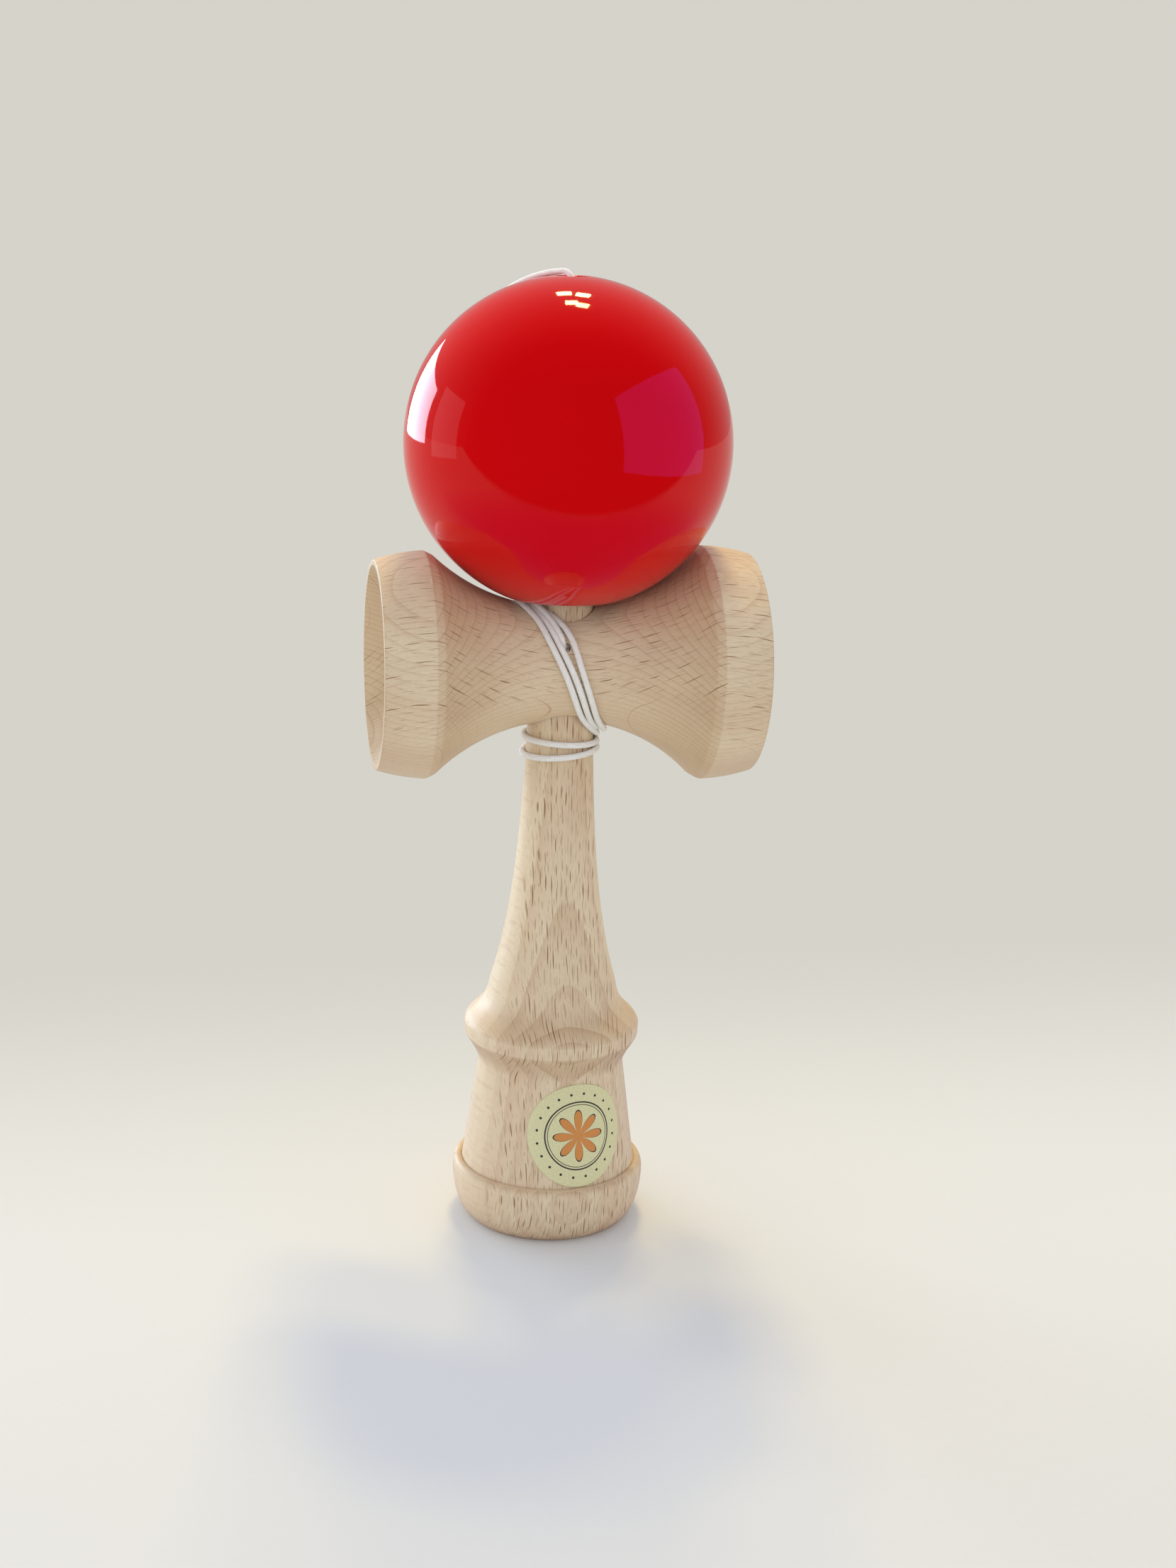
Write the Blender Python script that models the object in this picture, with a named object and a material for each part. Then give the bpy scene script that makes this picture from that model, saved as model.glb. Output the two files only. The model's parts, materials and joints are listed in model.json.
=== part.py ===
"""Wooden cup-and-ball toy: a turned stick, a cross-piece with two cups, a lacquered ball and its string.

Metres, +Z up. The origin is the centre of the stick's foot. The stick stands on Z, the cross-piece lies
along X with its large cup at +X, and -Y is the front.
"""
import math

import bmesh
import bpy
from mathutils import Matrix, Vector

# Fits between pieces
GAP = 0.0003
STRING_PLAY = 0.0003

# Stick, from the foot up
FOOT_RADIUS = 0.0153
FOOT_CUP_RADIUS = 0.0140
FOOT_CUP_DEPTH = 0.0070
RING_RADIUS = 0.01865
RING_HEIGHT = 0.0094
RING_TOP = 0.0114
RING_CREASE = 0.0003
BODY_FOOT_RADIUS = 0.0169
COVE_RADIUS = 0.0141
COVE_HEIGHT = 0.0316
BAND_RADIUS = 0.0168
BAND_HEIGHT = 0.0377
RIDGE_RADIUS = 0.0169
RIDGE_HEIGHT = 0.0397
FLARE_RADIUS = 0.01212
FLARE_HEIGHT = 0.0480
FLARE_LENGTH = 0.0215
NECK_LIMIT = 0.0056
SPIKE_ROOT_RADIUS = 0.0055
SPIKE_TIP_RADIUS = 0.0022

# How far each curve of the stick keeps on at its upper and lower end: shares of its width and its height
SHOULDER_PULLS = ((0.19, 0.72), (0.20, 0.32))
COVE_PULLS = ((0.02, 0.14), (0.0, 0.40))
RING_PULLS = ((0.65, -0.10), (0.0, 0.60))
FOOT_PULLS = ((0.0, 0.38), (0.70, 0.08))

# Cross-piece
CROSS_HEIGHT = 0.1102
CROSS_HALF_LENGTH = 0.03515
WAIST_RADIUS = 0.0106
LARGE_RIM_RADIUS = 0.0206
LARGE_EDGE_RADIUS = 0.0220
LARGE_CUP_DEPTH = 0.0125
SMALL_RIM_RADIUS = 0.0193
SMALL_EDGE_RADIUS = 0.0210
SMALL_CUP_DEPTH = 0.0110
EDGE_INSET = 0.0099
EDGE_ROUND = 0.0008
BAND_CROWN = 0.0003
LIP_THICKNESS = 0.0010
LIP_ROUND = 0.00025

# Ball
BALL_RADIUS = 0.0300
BALL_LIFT = 0.0004
MOUTH_RADIUS = 0.0110
MOUTH_BEVEL = 0.0010
BORE_CONE = 0.0130
TOP_WALL = 0.0110
CHAMBER_RADIUS = 0.0046
CHANNEL_RADIUS = 0.0015
DISH_RADIUS = 0.0032
TIP_ROOM = 0.0020

# String, its bead and its knots
STRING_DIAMETER = 0.0012
BEAD_RADIUS = 0.0032
BEAD_HEIGHT = 0.0056
KNOT_RADIUS = 0.0015
KNOT_LENGTH = 0.0020
KNOT_RIBS = 3
KNOT_RIB_DEPTH = 0.12
STRING_HOLE_X = -0.0011
STRING_HOLE_ANGLE = math.radians(28.0)
STRING_HOLE_LIP = 0.0012
STRING_BEND = 0.0023

# Winding: slanting turns round the waist, then turns round the neck, then up over the waist once more
SWEEP_CENTRE = -0.0001
SWEEP_STEADY = 0.0042
SWEEP_END = 0.0034
LANE_GAP = 0.0005
LANE_SPREAD = 0.00055
LANE_SPLIT = 0.0011
SPLIT_ANGLE = math.radians(34.0)
SPLIT_WIDTH = math.radians(26.0)
SPLIT_TURN = 1.5
LAYER_GAP = 0.00055
LAYER_END = 0.56
SETTLED_TURN = 0.75
BACK_TURN = 2.56
SLACK_ANGLE = math.radians(68.0)
SLACK_CLEARANCE = 0.0036
SLACK_DROP = 0.0046
SLACK_WAY = Vector((0.5, -0.5, -0.7)).normalized()
NECK_DROPS = (0.0073, 0.0071, 0.0056, 0.0039, 0.0039)
FRONT_TURN = 2.875
TOP_TURN = 3.31

# The string's way on to the ball's top
SPAN_BREAK = 0.5
SPAN_BEARING = math.radians(41.0)
SPAN_TOUCH = math.radians(28.0)

# Paper label on the stick's body
LABEL_MARGIN = 0.0002
LABEL_THICKNESS = 0.0002
LABEL_ANGLE = math.radians(11.0)

# Facets
TURNED_STEPS = 36
SMALL_STEPS = 16
BALL_STEPS = 22
BOWL_STEPS = 8
CURVE_STEPS = 6
FLARE_STEPS = 13
WAIST_STEPS = 20
BAND_STEPS = 4
BEAD_STEPS = 8
KNOT_STEPS = 12
LABEL_RINGS = 4
STRING_TURN_STEPS = 24
STRING_STEP = 0.0030
BEND_STEPS = 5

# Values that follow from the sizes above
STRING_RADIUS = STRING_DIAMETER / 2
STRING_REST = GAP + STRING_RADIUS
LAYER_HEIGHT = STRING_DIAMETER + LAYER_GAP
NECK_TOP = CROSS_HEIGHT - WAIST_RADIUS
SPIKE_ROOT = CROSS_HEIGHT + WAIST_RADIUS
EDGE_X = CROSS_HALF_LENGTH - EDGE_INSET


def mix(a, b, share):
    return a + (b - a) * share


def smooth(share):
    """Ease from 0 to 1, flat at both ends."""
    share = min(max(share, 0.0), 1.0)
    return share * share * (3 - 2 * share)


def arc(centre_r, centre_z, radius, start, end, steps):
    """Profile points on a circle; angles in degrees, 0 pointing outwards and 90 up."""
    angles = [math.radians(mix(start, end, step / steps)) for step in range(steps + 1)]
    return [(centre_r + radius * math.cos(a), centre_z + radius * math.sin(a)) for a in angles]


def bezier(p0, p1, p2, p3, steps):
    """Profile points on a cubic curve, both ends included."""
    points = []
    for step in range(steps + 1):
        t = step / steps
        weights = ((1 - t) ** 3, 3 * t * (1 - t) ** 2, 3 * t * t * (1 - t), t ** 3)
        points.append(tuple(sum(w * p[axis] for w, p in zip(weights, (p0, p1, p2, p3))) for axis in (0, 1)))
    return points


def swept(start, end, pulls, steps):
    """A profile curve between two points, shaped by the pull at each end."""
    leave, arrive = pulls
    span = [b - a for a, b in zip(start, end)]
    first = tuple(a + pull * d for a, pull, d in zip(start, leave, span))
    second = tuple(b - pull * d for b, pull, d in zip(end, arrive, span))
    return bezier(start, first, second, end, steps)


def bowl(mouth_radius, depth, mouth_z, side, steps):
    """A dished cup from its mouth to its middle; side is +1 where the mouth faces up."""
    radius = (mouth_radius ** 2 + depth ** 2) / (2 * depth)
    points = []
    for step in range(steps + 1):
        r = mouth_radius * math.cos(math.pi / 2 * step / steps)
        sag = math.sqrt(radius ** 2 - r ** 2) - (radius - depth)
        points.append((r if step < steps else 0.0, mouth_z - side * sag))
    return points


def flare(z):
    """Radius of the stick's neck, drawn out from the shoulder like a bell."""
    return NECK_LIMIT + (FLARE_RADIUS - NECK_LIMIT) * math.exp((FLARE_HEIGHT - z) / FLARE_LENGTH)


def taper(z):
    """Radius of the stick where it passes through the cross-piece."""
    return mix(flare(NECK_TOP), SPIKE_ROOT_RADIUS, (z - NECK_TOP) / (SPIKE_ROOT - NECK_TOP))


def body_radius(z):
    """Radius of the stick's body between the foot ring and the cove."""
    return mix(BODY_FOOT_RADIUS, COVE_RADIUS, (z - RING_TOP) / (COVE_HEIGHT - RING_TOP))


def saddle_radius(x):
    """Radius of the cross-piece's waist, one hollow arc to each edge."""
    edge = LARGE_EDGE_RADIUS if x > 0 else SMALL_EDGE_RADIUS
    rise = edge - WAIST_RADIUS
    radius = (EDGE_X ** 2 + rise ** 2) / (2 * rise)
    return WAIST_RADIUS + radius - math.sqrt(radius ** 2 - x ** 2)


BALL_HEIGHT = (CROSS_HEIGHT + saddle_radius(MOUTH_RADIUS) + BALL_LIFT
               + math.sqrt(BALL_RADIUS ** 2 - MOUTH_RADIUS ** 2))
CHAMBER_TOP = BALL_HEIGHT + BALL_RADIUS - TOP_WALL
BEAD_TOP = CHAMBER_TOP - GAP
KNOT_TOP = BEAD_TOP - BEAD_HEIGHT - GAP
STICK_LENGTH = KNOT_TOP - KNOT_LENGTH - TIP_ROOM
HOLE_AXIS = Vector((0.0, -math.cos(STRING_HOLE_ANGLE), math.sin(STRING_HOLE_ANGLE)))
HOLE_FLOOR = saddle_radius(STRING_HOLE_X) - STRING_HOLE_LIP


def material(name, colour, roughness, coat=0.0):
    finish = bpy.data.materials.new(name)
    finish.use_nodes = True
    shader = finish.node_tree.nodes["Principled BSDF"]
    shader.inputs["Base Color"].default_value = (*colour, 1.0)
    shader.inputs["Roughness"].default_value = roughness
    shader.inputs["Metallic"].default_value = 0.0
    shader.inputs["Coat Weight"].default_value = coat
    finish.diffuse_color = (*colour, 1.0)
    return finish


def axis_empty(name, location):
    empty = bpy.data.objects.new(name, None)
    empty.location = location
    bpy.context.collection.objects.link(empty)
    return empty


def add(name, data, finish, parent=None, location=(0, 0, 0)):
    """Link an object; its location is in the world, also under a parent."""
    piece = bpy.data.objects.new(name, data)
    bpy.context.collection.objects.link(piece)
    piece.location = location
    if parent:
        piece.parent = parent
        piece.matrix_parent_inverse = Matrix.Translation(-parent.location)
    if finish:
        data.materials.append(finish)
    return piece


def turned(name, profile, finish, steps, closed=False, parent=None, location=(0, 0, 0)):
    """A piece turned about its own Z from a profile of (radius, height) points that runs down the outside."""
    count = len(profile)
    edges = [(i, i + 1) for i in range(count - 1)]
    if closed:
        edges.append((count - 1, 0))
    mesh = bpy.data.meshes.new(name)
    mesh.from_pydata([(r, 0, z) for r, z in profile], edges, [])
    piece = add(name, mesh, finish, parent, location)
    screw = piece.modifiers.new("Turn", "SCREW")
    screw.steps = steps
    screw.render_steps = steps
    screw.use_merge_vertices = True
    screw.merge_threshold = 0.00001
    screw.use_smooth_shade = True
    return piece


def cutter(name, profile, steps, parent, location=(0, 0, 0)):
    tool = turned(name, profile, None, steps, parent=parent, location=location)
    tool.hide_render = True
    tool.display_type = "WIRE"
    return tool


def cut(piece, tool):
    boolean = piece.modifiers.new("Cut " + tool.name, "BOOLEAN")
    boolean.operation = "DIFFERENCE"
    boolean.solver = "EXACT"
    boolean.object = tool


def tube(name, points, resolution, finish, parent):
    """A string along world points."""
    curve = bpy.data.curves.new(name, "CURVE")
    curve.dimensions = "3D"
    curve.bevel_depth = STRING_RADIUS
    curve.bevel_resolution = resolution
    curve.use_fill_caps = True
    spline = curve.splines.new("POLY")
    spline.points.add(len(points) - 1)
    for slot, point in zip(spline.points, points):
        slot.co = (*point, 1.0)
    return add(name, curve, finish, parent)


def smooth_path(route, step):
    """Points at even steps on a smooth curve through the route's own points."""
    padded = [2 * route[0] - route[1], *route, 2 * route[-1] - route[-2]]
    points = [route[0]]
    for a, b, c, d in zip(padded, padded[1:], padded[2:], padded[3:]):
        count = max(1, round((c - b).length / step))
        for index in range(1, count + 1):
            t = index / count
            points.append(0.5 * (2 * b + (c - a) * t + (2 * a - 5 * b + 4 * c - d) * t ** 2
                                 + (3 * b - 3 * c + d - a) * t ** 3))
    return points


def eased_point(p0, d0, p1, d1, share):
    """A point between two path ends, on a curve that leaves along d0 and arrives along d1."""
    reach = (p1 - p0).length
    t = share
    start = p0 * (2 * t ** 3 - 3 * t ** 2 + 1) + d0 * reach * (t ** 3 - 2 * t ** 2 + t)
    return start + p1 * (3 * t ** 2 - 2 * t ** 3) + d1 * reach * (t ** 3 - t ** 2)


def bridge(p0, d0, p1, d1):
    """Points between two path ends, ends left out."""
    return [eased_point(p0, d0, p1, d1, step / BEND_STEPS) for step in range(1, BEND_STEPS)]


def way(a, b):
    return (b - a).normalized()


def make_stick(finish):
    tip = arc(0.0, STICK_LENGTH - SPIKE_TIP_RADIUS, SPIKE_TIP_RADIUS, 90.0, 5.0, CURVE_STEPS)
    tip[0] = (0.0, STICK_LENGTH)
    profile = tip + [(SPIKE_ROOT_RADIUS, SPIKE_ROOT)]
    for step in range(FLARE_STEPS):
        z = mix(NECK_TOP, FLARE_HEIGHT, math.sin(math.pi / 2 * step / FLARE_STEPS))
        profile.append((flare(z), z))
    profile += swept((FLARE_RADIUS, FLARE_HEIGHT), (RIDGE_RADIUS, RIDGE_HEIGHT), SHOULDER_PULLS, CURVE_STEPS)
    profile += swept((BAND_RADIUS, BAND_HEIGHT), (COVE_RADIUS, COVE_HEIGHT), COVE_PULLS, CURVE_STEPS)
    profile.append((BODY_FOOT_RADIUS, RING_TOP - RING_CREASE))
    profile += swept((BODY_FOOT_RADIUS + RING_CREASE, RING_TOP), (RING_RADIUS, RING_HEIGHT),
                     RING_PULLS, CURVE_STEPS)
    profile += swept((RING_RADIUS, RING_HEIGHT), (FOOT_RADIUS, 0.0), FOOT_PULLS, CURVE_STEPS)[1:]
    profile += bowl(FOOT_CUP_RADIUS, FOOT_CUP_DEPTH, 0.0, -1, BOWL_STEPS)
    return turned("ken_stick", profile, finish, TURNED_STEPS)


def cup_end(rim, edge, depth):
    """Profile of one end of the cross-piece, from the middle of its bowl to its edge, mouth facing up."""
    profile = bowl(rim - LIP_THICKNESS, depth, CROSS_HALF_LENGTH, 1, BOWL_STEPS)[::-1]
    start = CROSS_HALF_LENGTH - LIP_ROUND
    end = EDGE_X + EDGE_ROUND
    profile += [(rim - LIP_ROUND, CROSS_HALF_LENGTH), (rim, start)]
    for step in range(1, BAND_STEPS + 1):
        share = step / BAND_STEPS
        crown = BAND_CROWN * math.sin(math.pi * share)
        profile.append((mix(rim, edge, share) + crown, mix(start, end, share)))
    return profile


def make_crosspiece(finish, parent):
    large = cup_end(LARGE_RIM_RADIUS, LARGE_EDGE_RADIUS, LARGE_CUP_DEPTH)
    small = cup_end(SMALL_RIM_RADIUS, SMALL_EDGE_RADIUS, SMALL_CUP_DEPTH)
    profile = list(large)
    reach = EDGE_X - EDGE_ROUND
    for step in range(WAIST_STEPS + 1):
        x = mix(reach, -reach, step / WAIST_STEPS)
        profile.append((saddle_radius(x), x))
    profile += [(r, -x) for r, x in reversed(small)]
    piece = turned("cup_crosspiece", profile, finish, TURNED_STEPS, parent=parent, location=parent.location)
    piece.rotation_euler = (0.0, math.pi / 2, 0.0)

    reach = LARGE_EDGE_RADIUS
    slope = (taper(SPIKE_ROOT) - taper(NECK_TOP)) / (SPIKE_ROOT - NECK_TOP)
    middle = taper(CROSS_HEIGHT) + GAP
    bore = cutter("stick_bore_cutter", [(0.0, reach), (middle + slope * reach, reach),
                                        (middle - slope * reach, -reach), (0.0, -reach)],
                  TURNED_STEPS, parent, parent.location)
    cut(piece, bore)

    hole_radius = STRING_RADIUS + STRING_PLAY
    pocket_radius = KNOT_RADIUS + GAP
    outside = WAIST_RADIUS + 2 * STRING_DIAMETER
    inside = taper(CROSS_HEIGHT) - KNOT_RADIUS
    hole = cutter("string_hole_cutter", [(0.0, outside), (hole_radius, outside), (hole_radius, HOLE_FLOOR),
                                         (pocket_radius, HOLE_FLOOR), (pocket_radius, inside), (0.0, inside)],
                  SMALL_STEPS, parent, parent.location + Vector((STRING_HOLE_X, 0, 0)))
    hole.rotation_euler = (math.pi / 2 - STRING_HOLE_ANGLE, 0.0, 0.0)
    cut(piece, hole)
    return piece


def make_ball(finish, parent):
    mouth_z = -math.sqrt(BALL_RADIUS ** 2 - MOUTH_RADIUS ** 2)
    bore_radius = MOUTH_RADIUS - MOUTH_BEVEL
    top = math.degrees(math.acos(DISH_RADIUS / BALL_RADIUS))
    bottom = -math.degrees(math.acos(MOUTH_RADIUS / BALL_RADIUS))
    chamber_top = CHAMBER_TOP - BALL_HEIGHT
    cone_top = STICK_LENGTH + GAP - BALL_HEIGHT
    cone_foot = cone_top - BORE_CONE
    dish_depth = DISH_RADIUS - CHANNEL_RADIUS
    profile = arc(0.0, 0.0, BALL_RADIUS, top, bottom, BALL_STEPS)
    profile += [(bore_radius, mouth_z + MOUTH_BEVEL), (bore_radius, cone_foot), (CHAMBER_RADIUS, cone_top),
                (CHAMBER_RADIUS, chamber_top), (CHANNEL_RADIUS, chamber_top),
                (CHANNEL_RADIUS, profile[0][1] - dish_depth)]
    return turned("ball", profile, finish, TURNED_STEPS, True, parent, parent.location)


def make_bead(finish, parent):
    hole = STRING_RADIUS + STRING_PLAY
    half = BEAD_HEIGHT / 2
    tilt = math.degrees(math.acos(half / BEAD_RADIUS))
    shell = arc(0.0, 0.0, BEAD_RADIUS, 90.0 - tilt, tilt - 90.0, BEAD_STEPS)
    profile = shell + [(hole, -half), (hole, half)]
    return turned("string_bead", profile, finish, SMALL_STEPS, True, parent, (0, 0, BEAD_TOP - half))


def make_knot(name, finish, parent, location):
    """A stopper knot: turns of string drawn tight into a ribbed barrel."""
    profile = []
    for step in range(KNOT_STEPS + 1):
        share = step / KNOT_STEPS
        barrel = math.sqrt(math.sin(math.pi * share))
        rib = 1.0 - KNOT_RIB_DEPTH * math.cos(math.pi * KNOT_RIBS * share) ** 2
        profile.append((KNOT_RADIUS * barrel * rib, KNOT_LENGTH * (0.5 - share)))
    profile[0] = (0.0, KNOT_LENGTH / 2)
    profile[-1] = (0.0, -KNOT_LENGTH / 2)
    return turned(name, profile, finish, SMALL_STEPS, False, parent, location)


def waist_point(x, angle, height):
    """A point over the waist: angle 0 is the front, a quarter turn the top."""
    radius = saddle_radius(x) + height
    return Vector((x, -radius * math.cos(angle), CROSS_HEIGHT + radius * math.sin(angle)))


def sweep(angle):
    """How far a turn leans along X, sharpest where it passes the stick."""
    lean = math.sin(angle)
    return SWEEP_CENTRE - SWEEP_STEADY * lean - SWEEP_END * lean ** 5


def lane_pitch(angle):
    """Distance along X between turns, wider where they run at a slant."""
    return STRING_DIAMETER + LANE_GAP + LANE_SPREAD * abs(math.cos(angle))


HOLE_TURN = STRING_HOLE_ANGLE / math.tau
HOLE_LANE = (sweep(STRING_HOLE_ANGLE) - STRING_HOLE_X) / lane_pitch(STRING_HOLE_ANGLE)


def waist_turn(turn):
    """The string on the waist: three lanes side by side, and the first half turn in a layer over them."""
    angle = math.tau * turn
    if turn < SETTLED_TURN:
        lane = mix(HOLE_LANE, SETTLED_TURN - 2, (turn - HOLE_TURN) / (SETTLED_TURN - HOLE_TURN))
        split = 0.0
    else:
        lane = turn - 2
        offset = (angle - SPLIT_ANGLE + math.pi) % math.tau - math.pi
        split = LANE_SPLIT * math.exp(-(offset / SPLIT_WIDTH) ** 2)
        if turn > SPLIT_TURN:
            split = -split
    over = 1 - smooth((turn - LAYER_END) / (SETTLED_TURN - LAYER_END))
    x = sweep(angle) - lane_pitch(angle) * lane + split
    return waist_point(x, angle, STRING_REST + LAYER_HEIGHT * over)


def waist_stretch(first, last):
    count = round((last - first) * STRING_TURN_STEPS)
    return [waist_turn(mix(first, last, step / count)) for step in range(count + 1)]


def neck_turn(halves):
    """The string on the neck, counted in half turns from the right side by the front to the left."""
    station = min(int(halves), len(NECK_DROPS) - 2)
    z = NECK_TOP - mix(NECK_DROPS[station], NECK_DROPS[station + 1], smooth(halves - station))
    radius = flare(z) + STRING_REST
    angle = -math.pi * halves
    return Vector((radius * math.cos(angle), radius * math.sin(angle), z))


def winding_start():
    """Straight out of the string hole, then bent over to lie along the first turn."""
    exit_height = STRING_REST + LAYER_HEIGHT - STRING_BEND
    floor_height = HOLE_FLOOR - saddle_radius(STRING_HOLE_X) + GAP
    points = [waist_point(STRING_HOLE_X, STRING_HOLE_ANGLE, floor_height)]
    turn_length = math.tau * (WAIST_RADIUS + STRING_REST + LAYER_HEIGHT)
    for step in range(BEND_STEPS):
        bend = math.pi / 2 * step / BEND_STEPS
        turn = HOLE_TURN + STRING_BEND * (1 - math.cos(bend)) / turn_length
        flat = waist_turn(turn)
        angle = math.tau * turn
        points.append(waist_point(flat.x, angle, exit_height + STRING_BEND * math.sin(bend)))
    return points, HOLE_TURN + STRING_BEND / turn_length


def slack_point():
    """Where the string hangs clear of the neck, on its way down the back."""
    z = NECK_TOP - SLACK_DROP
    radius = flare(z) + STRING_REST + SLACK_CLEARANCE
    return Vector((radius * math.cos(SLACK_ANGLE), radius * math.sin(SLACK_ANGLE), z))


def over_ball(angle):
    """A point on the string's way round the back of the ball; angle is taken from straight down."""
    reach = BALL_RADIUS + STRING_REST
    side = reach * math.sin(angle)
    return Vector((-side * math.sin(SPAN_BEARING), side * math.cos(SPAN_BEARING),
                   BALL_HEIGHT - reach * math.cos(angle)))


def span_point(share):
    """The string's way from the top of the waist to where it meets the ball."""
    step = 1 / STRING_TURN_STEPS
    foot = waist_turn(TOP_TURN)
    head = over_ball(SPAN_TOUCH)
    return eased_point(foot, way(waist_turn(TOP_TURN - step), foot),
                       head, way(head, over_ball(SPAN_TOUCH + math.tau * step)), share)


def break_share(offset):
    """Share of the span at its break, where the winding ends and the length that goes with the ball begins."""
    return SPAN_BREAK + offset / (span_point(1.0) - span_point(0.0)).length


def winding_path():
    """Out of the hole, round the waist, down the back to the neck, round it, and up the front to the top."""
    points, first = winding_start()
    points += waist_stretch(first, BACK_TURN)
    slack = slack_point()
    points += bridge(points[-1], way(points[-2], points[-1]), slack, SLACK_WAY) + [slack]
    halves = len(NECK_DROPS) - 1
    count = halves * STRING_TURN_STEPS // 2
    neck = [neck_turn(halves * step / count) for step in range(count + 1)]
    points += bridge(slack, SLACK_WAY, neck[0], way(neck[0], neck[1])) + neck
    last = waist_stretch(FRONT_TURN, TOP_TURN)
    points += bridge(neck[-1], way(neck[-2], neck[-1]), last[0], way(last[0], last[1])) + last
    end = break_share(-GAP / 2)
    return points + [span_point(end * step / BEND_STEPS) for step in range(1, BEND_STEPS + 1)]


def ball_string_path():
    """From the winding up the back of the ball, over its top and down to the knot under the bead."""
    start = break_share(GAP / 2)
    route = [span_point(mix(start, 1.0, step / BEND_STEPS)) for step in range(BEND_STEPS)]
    last = math.pi - math.asin(STRING_BEND / (BALL_RADIUS + STRING_REST))
    over_steps = STRING_TURN_STEPS // 2
    route += [over_ball(mix(SPAN_TOUCH, last, step / over_steps)) for step in range(over_steps + 1)]
    crest = route[-1]
    inward = Vector((-crest.x, -crest.y, 0.0)).normalized()
    for step in range(1, BEND_STEPS + 1):
        turn = math.pi / 2 * step / BEND_STEPS
        drop = Vector((0.0, 0.0, math.cos(turn) - 1))
        route.append(crest + STRING_BEND * (inward * math.sin(turn) + drop))
    route[-1].xy = (0.0, 0.0)
    route.append(Vector((0.0, 0.0, BEAD_TOP)))
    route.append(Vector((0.0, 0.0, KNOT_TOP + GAP)))
    return smooth_path(route, STRING_STEP)


def least_gap(points):
    """Smallest clear distance between stretches of one string that aren't next to each other."""
    fine = []
    for a, b in zip(points, points[1:]):
        fine += [a.lerp(b, share / 4) for share in range(4)]
    run = [0.0]
    for a, b in zip(fine, fine[1:]):
        run.append(run[-1] + (b - a).length)
    apart = math.pi * STRING_BEND + STRING_DIAMETER
    nearest = min((fine[i] - fine[j]).length for i in range(len(fine)) for j in range(i)
                  if run[i] - run[j] > apart)
    return nearest - STRING_DIAMETER


def path_length(points):
    return sum((b - a).length for a, b in zip(points, points[1:]))


def make_label(finish):
    """A round sticker bent to the stick's body between the foot ring and the cove."""
    slope = math.atan2(BODY_FOOT_RADIUS - COVE_RADIUS, COVE_HEIGHT - RING_TOP)
    middle = (RING_TOP + COVE_HEIGHT) / 2
    reach = (COVE_HEIGHT - RING_TOP) / 2 / math.cos(slope) - LABEL_MARGIN
    shape = bmesh.new()
    bmesh.ops.create_circle(shape, cap_ends=True, cap_tris=True, radius=1.0, segments=TURNED_STEPS)
    spokes = [edge for edge in shape.edges if not edge.is_boundary]
    bmesh.ops.subdivide_edges(shape, edges=spokes, cuts=LABEL_RINGS - 1, use_grid_fill=True)
    for vert in shape.verts:
        z = middle + vert.co.y * reach * math.cos(slope)
        radius = body_radius(z) + GAP
        angle = LABEL_ANGLE + vert.co.x * reach / radius
        vert.co = (radius * math.sin(angle), -radius * math.cos(angle), z)
    bmesh.ops.recalc_face_normals(shape, faces=shape.faces)
    face = shape.faces[0]
    if face.normal.dot(face.calc_center_median()) < 0:
        bmesh.ops.reverse_faces(shape, faces=shape.faces)
    mesh = bpy.data.meshes.new("label")
    shape.to_mesh(mesh)
    shape.free()
    piece = add("label", mesh, finish)
    solid = piece.modifiers.new("Paper", "SOLIDIFY")
    solid.thickness = LABEL_THICKNESS
    solid.offset = 1.0
    return piece


def main():
    for leftover in list(bpy.data.objects):
        bpy.data.objects.remove(leftover, do_unlink=True)

    beech = material("beech_stick", (0.60, 0.43, 0.29), 0.55)
    beech_cups = material("beech_crosspiece", (0.62, 0.45, 0.30), 0.55)
    lacquer = material("red_lacquer", (0.60, 0.01, 0.01), 0.12, 1.0)
    cotton = material("white_string", (0.85, 0.83, 0.80), 0.9)
    bead_wood = material("bead_wood", (0.62, 0.46, 0.32), 0.5)
    paper = material("label_paper", (0.72, 0.70, 0.42), 0.5)

    cross_axis = axis_empty("crosspiece_axis", Vector((0.0, 0.0, CROSS_HEIGHT)))
    ball_axis = axis_empty("ball_axis", Vector((0.0, 0.0, BALL_HEIGHT)))
    ball_axis.parent = cross_axis
    ball_axis.matrix_parent_inverse = Matrix.Translation(-cross_axis.location)

    make_stick(beech)
    make_label(paper)
    make_crosspiece(beech_cups, cross_axis)
    knot_centre = HOLE_AXIS * (HOLE_FLOOR - GAP - KNOT_LENGTH / 2)
    knot = make_knot("crosspiece_knot", cotton, cross_axis,
                     cross_axis.location + knot_centre + Vector((STRING_HOLE_X, 0, 0)))
    knot.rotation_euler = (math.pi / 2 - STRING_HOLE_ANGLE, 0.0, 0.0)
    make_ball(lacquer, ball_axis)
    make_bead(bead_wood, ball_axis)
    make_knot("bead_knot", cotton, ball_axis, (0.0, 0.0, KNOT_TOP - KNOT_LENGTH / 2))

    winding = winding_path()
    to_ball = ball_string_path()
    tube("string_winding", winding, 1, cotton, cross_axis)
    tube("string_to_ball", to_ball, 2, cotton, ball_axis)
    print("winding's least gap to itself: %.2f mm" % (1000 * least_gap(winding)))
    print("string from knot to knot: %.3f m" % (path_length(winding) + path_length(to_ball)))


main()
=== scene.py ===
"""Looks of the cup-and-ball toy: turned beech, red lacquer, braided string and a label, on a pale floor.

Metres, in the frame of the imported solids: +Z up along the stick, +X along the cross-piece, -Y the front.
"""
import json
import math

import bpy
from mathutils import Matrix, Vector

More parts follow.
